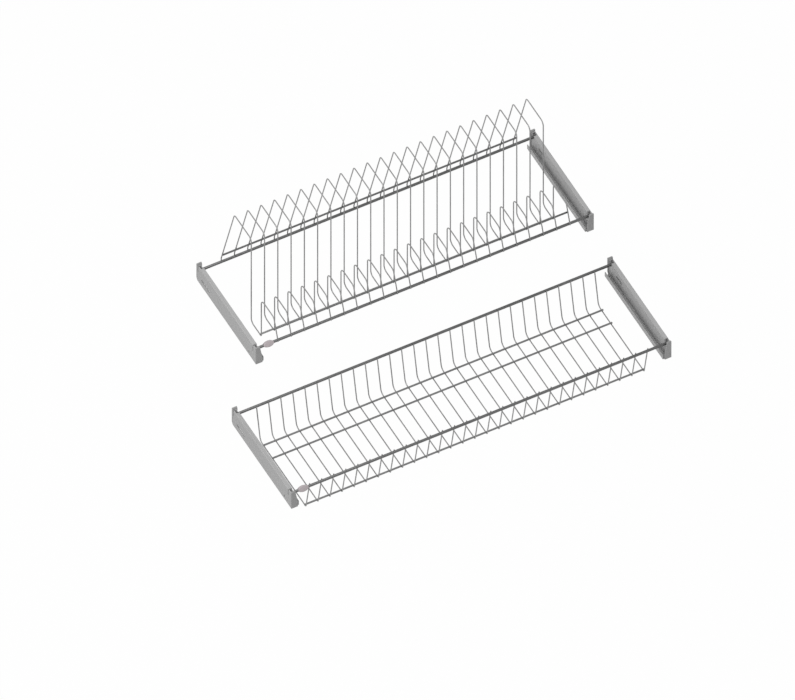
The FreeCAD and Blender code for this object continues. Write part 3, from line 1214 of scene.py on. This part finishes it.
@dataclass
class Studio:
    """Floor, soft lights, white background and the camera at the photograph's angle.

    Attributes:
        azimuth, elevation: the camera's angles in degrees.
        width_px, px_per_m: the picture's width and its scale.
        shift_right, shift_up: the picture's middle, across and up from the origin.
        distance, reach: how far back the camera stands and how far it sees.
        floor_z, floor_half: the floor's height and half of its side.
        floor_grey, floor_roughness: the floor's finish.
        floor_white: how white the floor is to the eye, where 1 hides all shadow on it.
        soft_light: the strength of the light from all round.
        lamps, aim: the lamps, and the point that they face.
    """

    azimuth: float = -27.81
    elevation: float = 49.22
    width_px: float = 795.0
    px_per_m: float = 497.4
    shift_right: float = 0.0589
    shift_up: float = -0.2954
    distance: float = 4.0
    reach: float = 20.0
    floor_z: float = -0.95
    floor_half: float = 9.0
    floor_grey: float = 0.8
    floor_roughness: float = 0.9
    floor_white: float = 0.98
    soft_light: float = 0.55
    aim: Triple = (0.0, -0.2, -0.1)
    lamps: tuple[Lamp, ...] = (Lamp("key", (-1.0, -0.4, 2.7), 2.2, 38.0),
                               Lamp("fill", (-2.2, -1.0, 0.6), 2.0, 5.0))

    def axes(self) -> tuple[Vector, Vector, Vector]:
        """Work out which way the camera is turned.

        Returns:
            Its right, up and backward directions.
        """
        a, e = math.radians(self.azimuth), math.radians(self.elevation)
        right = Vector((math.cos(a), math.sin(a), 0.0))
        up = Vector((-math.sin(a) * math.sin(e), math.cos(a) * math.sin(e), math.cos(e)))
        back = Vector((math.sin(a) * math.cos(e), -math.cos(a) * math.cos(e), math.sin(e)))
        return right, up, back

    def make_camera(self) -> None:
        """Create the camera, with parallel rays as in the photograph."""
        right, up, back = self.axes()
        data = bpy.data.cameras.new("camera")
        data.type = "ORTHO"
        data.ortho_scale = self.width_px / self.px_per_m
        data.clip_end = self.reach
        camera = linked("camera", data)
        turn = Matrix((right, up, back)).transposed().to_4x4()
        target = right * self.shift_right + up * self.shift_up
        camera.matrix_world = Matrix.Translation(target + back * self.distance) @ turn
        bpy.context.scene.camera = camera

    def make_floor(self) -> None:
        """Create a wide pale floor well below the racks."""
        mesh = bmesh.new()
        bmesh.ops.create_grid(mesh, x_segments=1, y_segments=1, size=self.floor_half,
                              matrix=Matrix.Translation((0.0, 0.0, self.floor_z)))
        material, graph = blank("pale_floor")
        plain = graph.node("ShaderNodeBsdfPrincipled", {}, {
            "Base Color": rgba(self.floor_grey), "Roughness": self.floor_roughness})
        white = graph.node("ShaderNodeEmission", {}, {"Color": rgba(1.0), "Strength": 1.0})
        seen = graph.seen_by_eye() * self.floor_white
        both = graph.node("ShaderNodeMixShader", {}, {0: seen, 1: plain, 2: white})
        graph.node("ShaderNodeOutputMaterial", {}, {"Surface": both})
        floor = linked("floor", settled(mesh, "floor"))
        floor.data.materials.append(material)

    def make_world(self) -> None:
        """Create a white background and a plain soft light from all round."""
        world = bpy.data.worlds.new("studio")
        world.use_nodes = True
        bpy.context.scene.world = world
        graph = Graph(world.node_tree)
        soft, white = (
            graph.node("ShaderNodeBackground", {}, {"Color": rgba(1.0), "Strength": strength})
            for strength in (self.soft_light, 1.0))
        both = graph.node("ShaderNodeMixShader", {}, {0: graph.seen_by_eye(), 1: soft, 2: white})
        graph.node("ShaderNodeOutputWorld", {}, {"Surface": both})

    def make(self) -> None:
        """Create the whole studio."""
        self.make_camera()
        self.make_floor()
        self.make_world()
        for lamp in self.lamps:
            lamp.make(self.aim)
        bpy.context.scene.view_settings.view_transform = "Standard"


def main() -> None:
    """Build the studio, the racks, the rails and the finishes in order."""
    logging.basicConfig(level=logging.INFO, format="%(name)s %(message)s")
    Studio().make()
    wire, bar, rod, weld = (finish.make() for finish in (STEEL_WIRE, STEEL_BAR, STEEL_ROD, WELD))
    profile, hook, pink = (finish.make() for finish in (PROFILE, HOOK_GREY, TAG_PINK))
    racks = plates, glasses = PlateRack(), GlassRack()
    for rack in racks:
        rack.make_wires(wire)
        rack.make_welds(weld)
    for rack in racks:
        rack.make_bars(bar)
    plates.make_loop_rod(bar)
    dress(["plate_rod_back"], bar)
    dress(["plate_rod_front"], wire)
    dress(["glass_rod_back", "glass_rod_middle", "glass_rod_front"], rod)
    RailPair("upper", plates.wall).make(profile, hook)
    RailPair("lower", glasses.wall, glasses.back_f, glasses.back_u).make(profile, hook)
    for rack in racks:
        rack.make_tag(pink)


if __name__ == "__main__":
    main()
